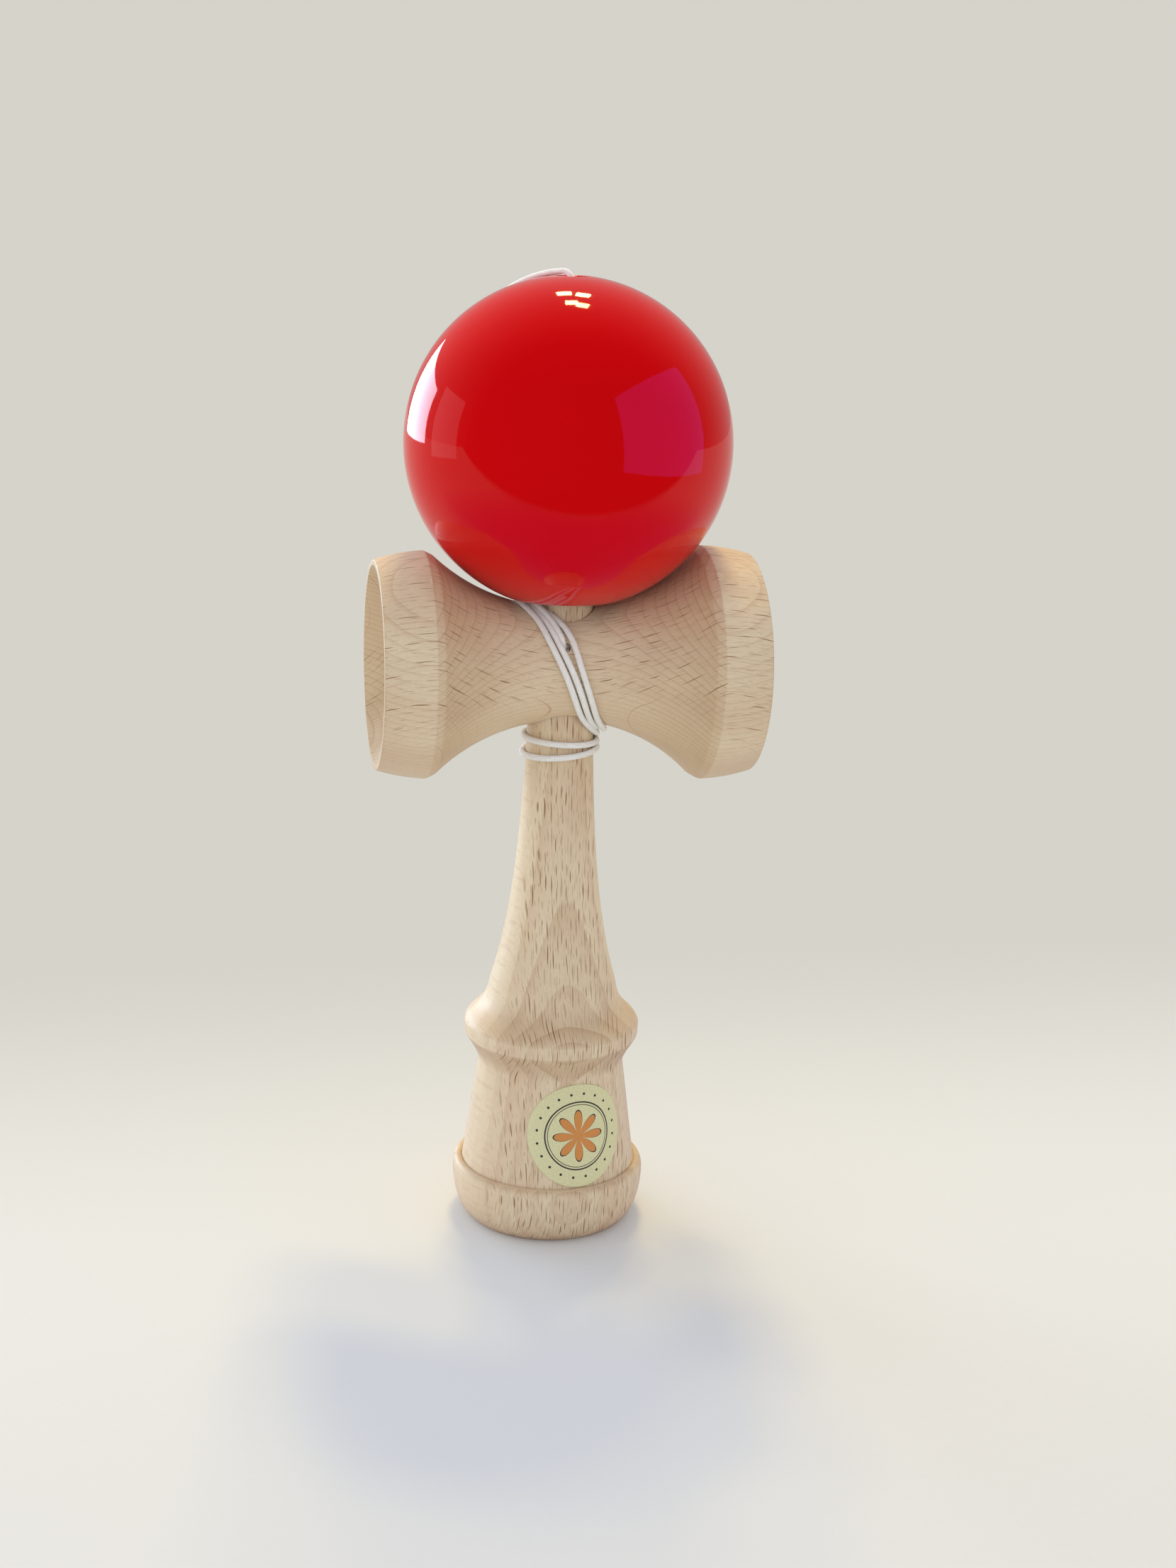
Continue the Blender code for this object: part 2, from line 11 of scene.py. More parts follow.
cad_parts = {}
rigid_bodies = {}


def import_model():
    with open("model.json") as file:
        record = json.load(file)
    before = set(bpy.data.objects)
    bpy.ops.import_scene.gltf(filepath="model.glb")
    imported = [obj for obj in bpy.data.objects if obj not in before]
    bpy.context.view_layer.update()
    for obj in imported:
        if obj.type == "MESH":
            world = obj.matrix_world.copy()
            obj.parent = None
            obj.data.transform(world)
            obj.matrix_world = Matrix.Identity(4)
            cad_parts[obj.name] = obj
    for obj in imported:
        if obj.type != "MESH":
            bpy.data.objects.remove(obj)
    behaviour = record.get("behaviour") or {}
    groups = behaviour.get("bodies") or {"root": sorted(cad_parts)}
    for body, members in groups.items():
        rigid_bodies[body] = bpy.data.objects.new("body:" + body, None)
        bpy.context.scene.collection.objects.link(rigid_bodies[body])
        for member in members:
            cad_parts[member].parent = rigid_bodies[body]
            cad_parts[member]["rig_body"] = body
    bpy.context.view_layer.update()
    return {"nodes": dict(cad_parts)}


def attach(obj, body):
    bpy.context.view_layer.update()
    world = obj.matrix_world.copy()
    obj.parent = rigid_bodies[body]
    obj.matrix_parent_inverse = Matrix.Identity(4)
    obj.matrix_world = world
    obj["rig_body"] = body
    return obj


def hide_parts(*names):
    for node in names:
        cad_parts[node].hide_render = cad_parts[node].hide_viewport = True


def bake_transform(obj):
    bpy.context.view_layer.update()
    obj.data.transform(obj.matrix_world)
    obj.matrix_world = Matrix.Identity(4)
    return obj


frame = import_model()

MM_PER_METRE = 1000.0
TINY = 1e-9

# Camera, fitted to the photograph
IMAGE_HEIGHT_PX = 2212
FOCAL_PX = 3119.7
SENSOR_MM = 36.0
CAMERA_REACH = 0.4045
CAMERA_HEIGHT = 0.1951
CAMERA_YAW = math.radians(10.975)
CAMERA_PAN = math.radians(0.795)
CAMERA_PITCH = math.radians(14.952)
CAMERA_ROLL = math.radians(1.912)
CLIP_START = 0.01

# Stick, from the foot up
FOOT_RADIUS = 0.0153
FOOT_CUP_RADIUS = 0.0140
FOOT_CUP_DEPTH = 0.0070
RING_RADIUS = 0.01865
RING_HEIGHT = 0.0094
RING_TOP = 0.0114
RING_CREASE = 0.0003
BODY_FOOT_RADIUS = 0.0169
COVE_RADIUS = 0.0141
COVE_HEIGHT = 0.0316
BAND_RADIUS = 0.0168
BAND_HEIGHT = 0.0377
RIDGE_RADIUS = 0.0169
RIDGE_HEIGHT = 0.0397
FLARE_RADIUS = 0.01212
FLARE_HEIGHT = 0.0480
FLARE_LENGTH = 0.0215
NECK_LIMIT = 0.0056
SPIKE_ROOT_RADIUS = 0.0055
SPIKE_TIP_RADIUS = 0.0022
SHOULDER_PULLS = ((0.19, 0.72), (0.20, 0.32))
COVE_PULLS = ((0.02, 0.14), (0.0, 0.40))
RING_PULLS = ((0.65, -0.10), (0.0, 0.60))
FOOT_PULLS = ((0.0, 0.38), (0.70, 0.08))

# Cross-piece
CROSS_HEIGHT = 0.1102
CROSS_HALF_LENGTH = 0.03515
WAIST_RADIUS = 0.0106
LARGE_CUP = (0.0206, 0.0220, 0.0125)
SMALL_CUP = (0.0193, 0.0210, 0.0110)
EDGE_INSET = 0.0099
EDGE_ROUND = 0.0008
BAND_CROWN = 0.0003
LIP_THICKNESS = 0.0010
BORE_PLAY = 0.0003

# Ball and bead
BALL_RADIUS = 0.0300
BALL_LIFT = 0.0004
MOUTH_RADIUS = 0.0110
MOUTH_BEVEL = 0.0010
BORE_CONE = 0.0130
TOP_WALL = 0.0110
CHAMBER_RADIUS = 0.0046
CHANNEL_RADIUS = 0.0015
DISH_RADIUS = 0.0032
TIP_ROOM = 0.0020
BEAD_RADIUS = 0.0032
BEAD_HEIGHT = 0.0056
BEAD_PLAY = 0.0003

# String
STRING_DIAMETER = 0.0012
STRING_HOLE_RADIUS = 0.0009
STRING_HOLE_X = -0.0011
STRING_HOLE_ANGLE = math.radians(28.0)
STRING_HOLE_LIP = 0.0012
STRING_BEND = 0.0024
STRING_SIT = 0.00005
KNOT_RADIUS = 0.0015
KNOT_LENGTH = 0.0020
KNOT_SQUEEZE = 0.8
BRAID_PITCH = 0.0017
BRAID_DEPTH = 0.12
BRAID_STRANDS = 3
EXIT_LEAN = 0.0003
SWEEP_CENTRE = 0.00035
SWEEP_STEADY = 0.0042
SWEEP_TOP = 0.0035
SWEEP_UNDER = 0.0021
SWEEP_POWER = 7
LANE_GAP = 0.00006
LANE_SPREAD = 0.00030
LANE_SPLIT = 0.0007
LANE_POWER = 1.6
SPLIT_ANGLE = math.radians(40.0)
SPLIT_WIDTH = math.radians(28.0)
SPLIT_TURN = 1.5
SETTLED_TURN = 0.75
LAYER_RISE = (0.10, 0.26)
LAYER_FALL = (0.58, 0.80)
BACK_TURN = 2.56
SLACK_ANGLE = math.radians(68.0)
SLACK_CLEARANCE = 0.0036
SLACK_DROP = 0.0046
SLACK_WAY = Vector((0.5, -0.5, -0.7)).normalized()
NECK_DROPS = (0.0051, 0.00645, 0.00385, 0.00305, 0.0026)
FRONT_TURN = 2.875
TOP_TURN = 3.31
SPAN_BREAK = 0.5
SPAN_BEARING = math.radians(41.0)
SPAN_TOUCH = math.radians(28.0)

# Label
LABEL_ANGLE = math.radians(11.0)
LABEL_MARGIN = 0.0002
LABEL_THICKNESS = 0.00015

# Label's print, in shares of its radius
LABEL_PETALS = 8
LABEL_DOTS = 20
PETAL_REACH = 0.50
FINE_RING = 0.61
BROAD_RING = 0.66
DOT_RING = 0.82
STROKE_EDGE = 0.006

# Studio, with each warm lamp's azimuth and elevation in degrees
FLOOR_RADIUS = 4.0
WALL_COLOUR = (0.665, 0.650, 0.590, 1.0)
BLACK = (0.0, 0.0, 0.0, 1.0)
WARM_LAMPS = ((6, 54), (17, 55), (10, 66), (22, 68))

# Fineness of the meshes
TURN_STEPS = 192
CURVE_STEPS = 18
CORNER_STEPS = 4
CORNER_CUT = 0.00030
CORNER_SHARE = 0.4
CORNER_LIMIT = math.radians(16.0)
SHARP_ANGLE = math.radians(35.0)
HOLE_STEPS = 48
BEAD_STEPS = 64
LABEL_RINGS = 24
LABEL_STEPS = 96
STRING_SIDES = 16
STRING_STEP = 0.00022
LOOP_STEPS = 48
BEND_STEPS = 8
KNOT_STEPS = 60

# Values that follow from the sizes above
STRING_RADIUS = STRING_DIAMETER / 2
STRING_REST = STRING_SIT + STRING_RADIUS
KNOT_STRAND = STRING_DIAMETER * KNOT_SQUEEZE
NECK_TOP = CROSS_HEIGHT - WAIST_RADIUS
SPIKE_ROOT = CROSS_HEIGHT + WAIST_RADIUS
EDGE_X = CROSS_HALF_LENGTH - EDGE_INSET


def mix(a, b, share):
    return a + (b - a) * share


def smooth(share):
    share = min(max(share, 0.0), 1.0)
    return share * share * (3 - 2 * share)


def arc(radius, start, end, steps, height=0.0):
    """Profile points on a circle about the axis; angles in degrees, 0 pointing outwards and 90 up."""
    angles = [math.radians(mix(start, end, step / steps)) for step in range(steps + 1)]
    return [(radius * math.cos(a), height + radius * math.sin(a)) for a in angles]


def swept(start, end, pulls):
    """Profile points on a cubic curve between two points, shaped by the pull at each end."""
    leave, arrive = pulls
    span = [b - a for a, b in zip(start, end)]
    first = [a + pull * d for a, pull, d in zip(start, leave, span)]
    second = [b - pull * d for b, pull, d in zip(end, arrive, span)]
    guides = (start, first, second, end)
    points = []
    for step in range(CURVE_STEPS + 1):
        t = step / CURVE_STEPS
        weights = ((1 - t) ** 3, 3 * t * (1 - t) ** 2, 3 * t * t * (1 - t), t ** 3)
        points.append(tuple(sum(w * p[i] for w, p in zip(weights, guides)) for i in (0, 1)))
    return points


def bowl(mouth_radius, depth, mouth_z, side):
    """A dished cup from its mouth to its middle; side is +1 where the mouth faces up."""
    radius = (mouth_radius ** 2 + depth ** 2) / (2 * depth)
    steps = 2 * CURVE_STEPS
    points = []
    for step in range(steps):
        r = mouth_radius * math.cos(math.pi / 2 * step / steps)
        points.append((r, mouth_z - side * (math.sqrt(radius ** 2 - r ** 2) - radius + depth)))
    return points + [(0.0, mouth_z - side * depth)]


def flare(z):
    """Radius of the stick's neck."""
    return NECK_LIMIT + (FLARE_RADIUS - NECK_LIMIT) * math.exp((FLARE_HEIGHT - z) / FLARE_LENGTH)


def taper(z):
    """Radius of the stick inside the cross-piece."""
    return mix(flare(NECK_TOP), SPIKE_ROOT_RADIUS, (z - NECK_TOP) / (SPIKE_ROOT - NECK_TOP))


def body_radius(z):
    """Radius of the stick's body behind the label."""
    return mix(BODY_FOOT_RADIUS, COVE_RADIUS, (z - RING_TOP) / (COVE_HEIGHT - RING_TOP))


def saddle_radius(x):
    """Radius of the cross-piece's waist."""
    rise = (LARGE_CUP if x > 0 else SMALL_CUP)[1] - WAIST_RADIUS
    radius = (EDGE_X ** 2 + rise ** 2) / (2 * rise)
    return WAIST_RADIUS + radius - math.sqrt(radius ** 2 - x ** 2)


BALL_HEIGHT = (CROSS_HEIGHT + saddle_radius(MOUTH_RADIUS) + BALL_LIFT
               + math.sqrt(BALL_RADIUS ** 2 - MOUTH_RADIUS ** 2))
CHAMBER_TOP = BALL_HEIGHT + BALL_RADIUS - TOP_WALL
BEAD_TOP = CHAMBER_TOP - BEAD_PLAY
KNOT_TOP = BEAD_TOP - BEAD_HEIGHT - BEAD_PLAY
STICK_LENGTH = KNOT_TOP - KNOT_LENGTH - TIP_ROOM
HOLE_FLOOR = saddle_radius(STRING_HOLE_X) - STRING_HOLE_LIP


class Graph:
    """A short way to lay out the nodes of one material, or of the world."""

    def __init__(self, owner, shader="Principled BSDF"):
        self.owner = owner
        owner.use_nodes = True
        self.tree = owner.node_tree
        self.shader = self.tree.nodes[shader]

    def feed(self, socket, value):
        if isinstance(value, bpy.types.NodeSocket):
            self.tree.links.new(value, socket)
        else:
            socket.default_value = value

    def node(self, kind, sockets, **settings):
        made = self.tree.nodes.new(kind)
        for key, value in settings.items():
            setattr(made, key, value)
        for key, value in sockets.items():
            self.feed(made.inputs[key], value)
        return made.outputs

    def finish(self, **sockets):
        """Set the shader's sockets, named with _ for spaces."""
        for key, value in sockets.items():
            self.feed(self.shader.inputs[key.replace("_", " ")], value)
        return self.owner

    def place(self, kind="Object"):
        return self.node("ShaderNodeTexCoord", {})[kind]

    def math(self, operation, *values):
        return self.node("ShaderNodeMath", dict(enumerate(values)), operation=operation)[0]

    def vector(self, operation, *values):
        return self.node("ShaderNodeVectorMath", dict(enumerate(values)), operation=operation)[0]

    def length(self, vector):
        return self.node("ShaderNodeVectorMath", {0: vector}, operation="LENGTH")["Value"]

    def dot(self, a, b):
        return self.node("ShaderNodeVectorMath", {0: a, 1: b}, operation="DOT_PRODUCT")["Value"]

    def split(self, vector):
        return self.node("ShaderNodeSeparateXYZ", {0: vector})

    def join(self, x, y, z=0.0):
        return self.node("ShaderNodeCombineXYZ", {0: x, 1: y, 2: z})[0]

    def mix(self, factor, a, b, blend="MIX"):
        sockets = {0: factor, 6: a, 7: b}
        return self.node("ShaderNodeMix", sockets, data_type="RGBA", blend_type=blend)[2]

    def ease(self, value, start, end, low=0.0, high=1.0):
        """Low before start, high after end, and smooth between."""
        sockets = {"Value": value, "From Min": start, "From Max": end, "To Min": low, "To Max": high}
        return self.node("ShaderNodeMapRange", sockets, interpolation_type="SMOOTHSTEP")[0]

    def ramp(self, value, stops):
        made = self.tree.nodes.new("ShaderNodeValToRGB")
        self.feed(made.inputs[0], value)
        elements = made.color_ramp.elements
        while len(elements) < len(stops):
            elements.new(0.5)
        for element, (place, grey) in zip(elements, stops):
            element.position = place
            element.color = (grey, grey, grey, 1.0)
        return made.outputs[0]

    def noise(self, vector, scale=1.0, detail=2.0):
        return self.node("ShaderNodeTexNoise", {"Vector": vector, "Scale": scale, "Detail": detail})

    def bump(self, height, strength, distance):
        sockets = {"Height": height, "Strength": strength, "Distance": distance}
        return self.node("ShaderNodeBump", sockets)[0]


def flecks(g, across, along, cell, widths, lengths):
    """Lens-shaped marks of the wood's rays, one to a cell, in columns that are out of step; millimetres."""
    column = g.math("DIVIDE", across, cell[0])
    number = g.math("FLOOR", column)
    shift = g.node("ShaderNodeTexWhiteNoise", {"W": number}, noise_dimensions="1D")[0]
    row = g.math("ADD", g.math("DIVIDE", along, cell[1]), g.math("MULTIPLY", shift, 7.0))
    seed = g.join(number, g.math("FLOOR", row))
    lot = g.split(g.node("ShaderNodeTexWhiteNoise", {"Vector": seed}, noise_dimensions="2D")["Color"])
    side = g.math("SUBTRACT", g.math("FRACT", column), g.math("MULTIPLY_ADD", lot[0], 0.5, 0.25))
    reach = g.math("SUBTRACT", g.math("FRACT", row), g.math("MULTIPLY_ADD", lot[1], 0.2, 0.4))
    width = g.math("MULTIPLY_ADD", lot[2], widths[1] - widths[0], widths[0])
    length = g.math("MULTIPLY_ADD", lot[1], lengths[1] - lengths[0], lengths[0])
    side = g.math("DIVIDE", g.math("MULTIPLY", g.math("ABSOLUTE", side), cell[0]), width)
    reach = g.math("POWER", g.math("DIVIDE", g.math("MULTIPLY", reach, cell[1]), length), 2.0)
    lens = g.ease(g.math("ADD", side, reach), 0.55, 1.0, 1.0, 0.0)
    return g.math("MULTIPLY", lens, g.ease(lot[0], 0.1, 0.9, 0.25, 1.0))


def beech(name, order, pith, ring_start, ring_width, ring_growth, ring_depth, late_share,
          ray_width, line_depth, flake_depth):
    """Beech as a solid: growth rings about a pith line, rays that run out from it, and fine fibres along it.

    The order puts the grain last, and lengths here are millimetres. Rays show as flecks where the surface
    cuts them end on, and as flakes where it runs along them. Fine lines show on every side."""
    pale = (0.810, 0.675, 0.465, 1.0)
    rosy = (0.755, 0.600, 0.405, 1.0)
    late = (0.560, 0.350, 0.200, 1.0)
    ray = (0.300, 0.155, 0.062, 1.0)
    g = Graph(bpy.data.materials.new(name))
    world = g.split(g.place())
    log = g.join(*[world[axis] for axis in order])
    log = g.vector("MULTIPLY", log, (MM_PER_METRE, MM_PER_METRE, MM_PER_METRE))
    log = g.vector("SUBTRACT", log, (*pith, 0.0))
    drift = g.noise(g.vector("MULTIPLY", log, (0.06, 0.06, 0.02)), detail=2.0)[1]
    drift = g.vector("SUBTRACT", drift, (0.5, 0.5, 0.5))
    log = g.vector("MULTIPLY_ADD", drift, (1.4, 1.4, 0.0), log)
    a, b, along = g.split(log)
    out = g.join(a, b)
    across = g.math("MULTIPLY", g.math("ARCTAN2", b, a), math.hypot(*pith))

    depth = g.math("MULTIPLY", g.math("SUBTRACT", g.length(out), ring_start), 4.0 * ring_growth)
    phase = g.math("SUBTRACT", g.math("SQRT", g.math("ADD", depth, ring_width ** 2)), ring_width)
    phase = g.math("DIVIDE", phase, 2.0 * ring_growth)
    start = 1.0 - late_share
    stops = ((0.0, 0.0), (start, 0.10), (mix(start, 0.96, 0.6), 0.5), (0.96, 1.0), (1.0, 0.0))
    ring = g.ramp(g.math("FRACT", phase), stops)
    year = g.node("ShaderNodeTexWhiteNoise", {"W": g.math("FLOOR", phase)}, noise_dimensions="1D")[0]
    ring = g.math("MULTIPLY", ring, g.math("MULTIPLY_ADD", year, 0.4, 0.6))

    facing = g.split(g.place("Normal"))
    facing = [facing[axis] for axis in order]
    # How far each face looks along the grain: it strengthens the rings there and drives the painted shade
    # further down.
    end_grain_and_shade = g.ease(g.math("ABSOLUTE", facing[2]), 0.08, 0.75)
    ring = g.math("MULTIPLY", ring, g.math("MULTIPLY_ADD", end_grain_and_shade, 0.35, 0.65))
    outward = g.math("ABSOLUTE", g.dot(g.join(facing[0], facing[1]), g.vector("NORMALIZE", out)))
    end_on = g.ease(outward, 0.2, 0.6)
    side_on = g.math("MULTIPLY", g.ease(outward, 0.2, 0.6, 1.0, 0.0), flake_depth)
    ring = g.math("MULTIPLY", ring, g.math("MULTIPLY_ADD", side_on, -0.7, 1.0))

    wander = g.noise(g.join(g.math("MULTIPLY", across, 0.3), g.math("MULTIPLY", along, 0.12)), detail=1.0)[0]
    across = g.math("MULTIPLY_ADD", wander, 0.8, across)
    large = flecks(g, across, along, (1.10, 4.6), (0.6 * ray_width, ray_width), (1.0, 2.7))
    large = g.math("MULTIPLY", large, end_on)
    small = flecks(g, across, along, (0.62, 3.0), (0.4 * ray_width, 0.7 * ray_width), (0.5, 1.6))
    small = g.math("MULTIPLY", small, end_on)
    lines = flecks(g, across, along, (0.90, 15.0), (0.4 * ray_width, 0.8 * ray_width), (3.0, 7.0))
    flakes = flecks(g, along, g.length(out), (1.7, 4.4), (0.25, 0.60), (1.0, 3.4))
    flakes = g.math("MULTIPLY", flakes, side_on)
    fibre = g.noise(g.vector("MULTIPLY", log, (7.0, 7.0, 0.3)), detail=3.0)[0]
    cloud = g.noise(g.vector("MULTIPLY", log, (0.12, 0.12, 0.03)), detail=2.0)[0]

    colour = g.mix(g.ease(cloud, 0.3, 0.7), pale, rosy)
    colour = g.mix(g.math("MULTIPLY", ring, ring_depth), colour, late)
    colour = g.mix(g.ease(fibre, 0.35, 0.75, 0.0, 0.25), colour, late)
    colour = g.mix(g.math("MULTIPLY", lines, line_depth), colour, late)
    colour = g.mix(g.math("MULTIPLY", flakes, 0.24), colour, late)
    colour = g.mix(g.math("MULTIPLY", small, 0.50), colour, ray)
    colour = g.mix(g.math("MULTIPLY", large, 0.95), colour, ray)
    # Painted shade: faces that look along the grain are darkened. This is partly the darker tone of end
    # grain and partly painted shade, which darkens the stick's upper shoulder against its band and sets the
    # cross-piece's ends and flanks apart.
    colour = g.mix(end_grain_and_shade, colour, (0.85, 0.79, 0.73, 1.0), "MULTIPLY")
    groove = g.math("MULTIPLY_ADD", large, -0.8, g.math("MULTIPLY", fibre, 0.5))
    return g.finish(Base_Color=colour, Roughness=g.ease(fibre, 0.2, 0.8, 0.42, 0.54),
                    Normal=g.bump(groove, 0.22, 0.00012), IOR=1.45)


def lacquer():
    g = Graph(bpy.data.materials.new("red_lacquer"))
    where = g.place()
    cloud = g.noise(where, 30.0, 2.0)[0]
    peel = g.noise(where, 420.0, 1.0)[0]
    colour = g.mix(cloud, (0.660, 0.0015, 0.0030, 1.0), (0.620, 0.0010, 0.0025, 1.0))
    return g.finish(Base_Color=colour, Roughness=g.ease(cloud, 0.3, 0.7, 0.030, 0.050),
                    Normal=g.bump(peel, 0.03, 0.0002), IOR=1.33)


def bare_bore():
    """Bare wood inside the ball and in the bead, with the marks of the drill."""
    g = Graph(bpy.data.materials.new("bare_bore"))
    x, y, z = g.split(g.place())
    marks = g.math("SINE", g.math("MULTIPLY", z, 9000.0))
    grain = g.noise(g.join(x, y, g.math("MULTIPLY", z, 0.1)), 2600.0, 3.0)[0]
    colour = g.mix(grain, (0.56, 0.41, 0.27, 1.0), (0.44, 0.30, 0.185, 1.0))
    return g.finish(Base_Color=colour, Roughness=g.ease(grain, 0.3, 0.7, 0.55, 0.7),
                    Normal=g.bump(marks, 0.15, 0.00008))


def cord_fibre():
    """White braided cord; the map runs along the cord in millimetres, and round it in turns."""
    g = Graph(bpy.data.materials.new("white_string"))
    along, around, _ = g.split(g.place("UV"))
    strand = g.noise(g.join(g.math("MULTIPLY", along, 0.7), g.math("MULTIPLY", around, 14.0)), 1.0, 3.0)[0]
    soil = g.noise(g.join(g.math("MULTIPLY", along, 0.08), 0.0), 1.0, 2.0)[0]
    colour = g.mix(g.ease(strand, 0.3, 0.7), (0.82, 0.80, 0.755, 1.0), (0.93, 0.915, 0.88, 1.0))
    colour = g.mix(g.ease(soil, 0.45, 0.8, 0.0, 0.25), colour, (0.76, 0.73, 0.67, 1.0))
    return g.finish(Base_Color=colour, Roughness=g.ease(strand, 0.3, 0.7, 0.75, 0.9),
                    Sheen_Weight=0.15, Normal=g.bump(strand, 0.35, 0.0001))


def label_print():
    """A plain paper seal: a rosette in two thin rings, with dots round them; the map is the unit disc."""
    paper = (0.740, 0.720, 0.410, 1.0)
    aged = (0.680, 0.645, 0.350, 1.0)
    ink = (0.045, 0.042, 0.035, 1.0)
    orange = (0.680, 0.270, 0.060, 1.0)
    g = Graph(bpy.data.materials.new("label_paper"))
    disc = g.place("UV")
    x, y, _ = g.split(disc)
    radius = g.length(disc)
    angle = g.math("ARCTAN2", x, y)

    def stroke(distance, width):
        return g.ease(g.math("ABSOLUTE", distance), width, width + STROKE_EDGE, 1.0, 0.0)

    wave = g.math("COSINE", g.math("MULTIPLY", angle, LABEL_PETALS / 2))
    lobe = g.math("POWER", g.math("ABSOLUTE", wave), 0.7)
    petal = g.math("SUBTRACT", g.math("MULTIPLY", lobe, PETAL_REACH), radius)
    spoke = g.math("SUBTRACT", g.math("FRACT", g.math("MULTIPLY", angle, LABEL_DOTS / math.tau)), 0.5)
    dot_along = g.math("MULTIPLY", g.math("MULTIPLY", spoke, math.tau / LABEL_DOTS), radius)
    dot = g.length(g.join(dot_along, g.math("SUBTRACT", radius, DOT_RING)))
    fibre = g.noise(disc, 26.0, 4.0)[0]

    colour = g.mix(g.ease(fibre, 0.35, 0.7), paper, aged)
    colour = g.mix(g.ease(petal, 0.0, 0.008), colour, orange)
    colour = g.mix(stroke(petal, 0.010), colour, ink)
    colour = g.mix(stroke(g.math("SUBTRACT", radius, BROAD_RING), 0.011), colour, ink)
    colour = g.mix(stroke(g.math("SUBTRACT", radius, FINE_RING), 0.004), colour, ink)
    colour = g.mix(g.ease(dot, 0.022, 0.030, 1.0, 0.0), colour, ink)
    return g.finish(Base_Color=colour, Roughness=g.ease(fibre, 0.3, 0.7, 0.38, 0.5),
                    Normal=g.bump(fibre, 0.06, 0.0001))


def add(name, points, faces, materials):
    mesh = bpy.data.meshes.new(name)
    mesh.from_pydata(points, [], faces)
    for finish in materials:
        mesh.materials.append(finish)
    mesh.shade_smooth()
    piece = bpy.data.objects.new(name, mesh)
    bpy.context.scene.collection.objects.link(piece)
    return piece


def stand_for(piece, node):
    """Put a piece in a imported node's place, on the same body."""
    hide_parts(node)
    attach(piece, frame["nodes"][node]["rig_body"])
    return piece


def eased(profile, closed=False):
    """The profile with its sharp corners broken, as sandpaper leaves them."""
    count = len(profile)
    points = []
    for index, point in enumerate(profile):
        if not closed and index in (0, count - 1):
            points.append(point)
            continue
        here = Vector(point)
        back = Vector(profile[index - 1]) - here
        ahead = Vector(profile[(index + 1) % count]) - here
        if min(back.length, ahead.length) < TINY or math.pi - back.angle(ahead) < CORNER_LIMIT:
            points.append(point)
            continue
        cut = min(CORNER_CUT, CORNER_SHARE * back.length, CORNER_SHARE * ahead.length)
        start = here + back.normalized() * cut
        end = here + ahead.normalized() * cut
        for step in range(CORNER_STEPS + 1):
            t = step / CORNER_STEPS
            points.append(tuple(start * (1 - t) ** 2 + here * 2 * t * (1 - t) + end * t ** 2))
    return points


def lathe(name, profile, materials, closed=False, steps=TURN_STEPS):
    """A piece turned about Z from (radius, height) points that run down the outside."""
    points = []
    rows = []
    for r, z in profile:
        if r < TINY:
            rows.append([len(points)] * steps)
            points.append((0.0, 0.0, z))
            continue
        rows.append(list(range(len(points), len(points) + steps)))
        turns = [math.tau * step / steps for step in range(steps)]
        points += [(r * math.cos(turn), r * math.sin(turn), z) for turn in turns]
    faces = []
    for upper, lower in zip(rows, rows[1:] + rows[:1] if closed else rows[1:]):
        for step in range(steps):
            after = (step + 1) % steps
            corners = (upper[step], lower[step], lower[after], upper[after])
            faces.append(tuple(dict.fromkeys(corners)))
    return add(name, points, faces, materials)


def settle(piece, matrix):
    """Move a piece's mesh to its place in the frame."""
    piece.data.transform(matrix)
    return piece


def carve(piece, cutters):
    """Cut the cutters out of a piece and remove them."""
    for tool in cutters:
        boolean = piece.modifiers.new(tool.name, "BOOLEAN")
        boolean.operation = "DIFFERENCE"
        boolean.solver = "EXACT"
        boolean.object = tool
    shape = piece.evaluated_get(bpy.context.evaluated_depsgraph_get())
    plain = piece.data
    piece.data = bpy.data.meshes.new_from_object(shape)
    piece.modifiers.clear()
    bpy.data.meshes.remove(plain)
    for tool in cutters:
        bpy.data.objects.remove(tool)
    piece.data.set_sharp_from_angle(angle=SHARP_ANGLE)


def make_stick(wood):
    tip = arc(SPIKE_TIP_RADIUS, 90.0, 5.0, CURVE_STEPS, STICK_LENGTH - SPIKE_TIP_RADIUS)
    profile = [(0.0, STICK_LENGTH), *tip[1:], (SPIKE_ROOT_RADIUS, SPIKE_ROOT)]
    for step in range(3 * CURVE_STEPS):
        z = mix(NECK_TOP, FLARE_HEIGHT, step / (3 * CURVE_STEPS))
        profile.append((flare(z), z))
    profile += swept((FLARE_RADIUS, FLARE_HEIGHT), (RIDGE_RADIUS, RIDGE_HEIGHT), SHOULDER_PULLS)
    profile += swept((BAND_RADIUS, BAND_HEIGHT), (COVE_RADIUS, COVE_HEIGHT), COVE_PULLS)
    profile.append((BODY_FOOT_RADIUS, RING_TOP - RING_CREASE))
    profile += swept((BODY_FOOT_RADIUS + RING_CREASE, RING_TOP), (RING_RADIUS, RING_HEIGHT), RING_PULLS)
    profile += swept((RING_RADIUS, RING_HEIGHT), (FOOT_RADIUS, 0.0), FOOT_PULLS)[1:]
    profile += bowl(FOOT_CUP_RADIUS, FOOT_CUP_DEPTH, 0.0, -1)
    stick = lathe("turned_stick", eased(profile), [wood])
    return stand_for(stick, "ken_stick")


def cup_end(rim, edge, depth):
    """Profile of one end of the cross-piece, from the middle of its bowl to its edge, mouth facing up."""
    profile = bowl(rim - LIP_THICKNESS, depth, CROSS_HALF_LENGTH, 1)[::-1]
    end = EDGE_X + EDGE_ROUND
    for step in range(CURVE_STEPS + 1):
        share = step / CURVE_STEPS
        crown = BAND_CROWN * math.sin(math.pi * share)
        profile.append((mix(rim, edge, share) + crown, mix(CROSS_HALF_LENGTH, end, share)))
    return profile


